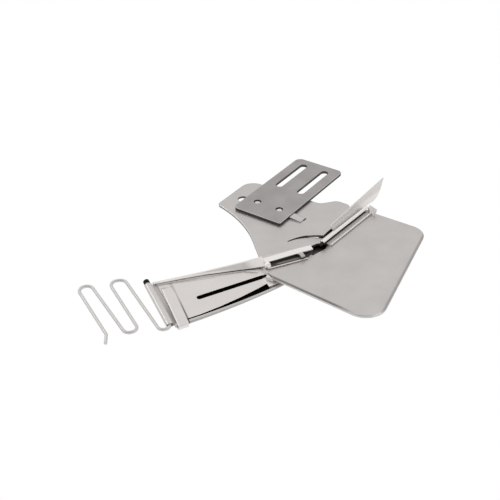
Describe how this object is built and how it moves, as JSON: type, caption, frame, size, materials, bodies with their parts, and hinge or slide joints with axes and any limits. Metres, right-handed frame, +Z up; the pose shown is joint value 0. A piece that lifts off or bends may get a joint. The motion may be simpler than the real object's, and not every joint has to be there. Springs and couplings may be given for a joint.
{
  "type": "binder foot",
  "caption": "Sewing machine binder foot: slotted fixing plate on a sheet base, tapering tape folder with a looped wire tape guide, and a delivery channel with a guide blade.",
  "frame": {"origin": "midway between the two fixing slots, on the underside of the fixing plate, the face that seats on the machine", "axes": "+Y is the sewing direction, along the slots, +X runs across the wing of the base, +Z is up, away from the machine bed"},
  "size_m": [0.1281, 0.1865, 0.0145],
  "materials": {
    "plate_steel": "rough satin",
    "satin_steel": "satin",
    "rivet_steel": "satin",
    "polished_steel": "polished",
    "insert_steel": "polished",
    "clip_steel": "polished",
    "wire_steel": "drawn",
    "black_plastic": "moulded",
    "channel_steel": "polished",
    "blade_steel": "satin",
    "cup_steel": "blackened"
  },
  "bodies": {
    "root": {"fixing_plate": "plate_steel", "base_plate": "satin_steel", "rivet_left": "rivet_steel", "rivet_right": "rivet_steel", "folder_shell": "polished_steel", "folder_insert": "insert_steel", "mouth_clip": "clip_steel", "wire_guide": "wire_steel", "wire_cap": "black_plastic", "turn_channel": "channel_steel", "delivery_channel": "channel_steel", "guide_blade": "blade_steel", "turn_cup": "cup_steel"}
  },
  "joints": []
}
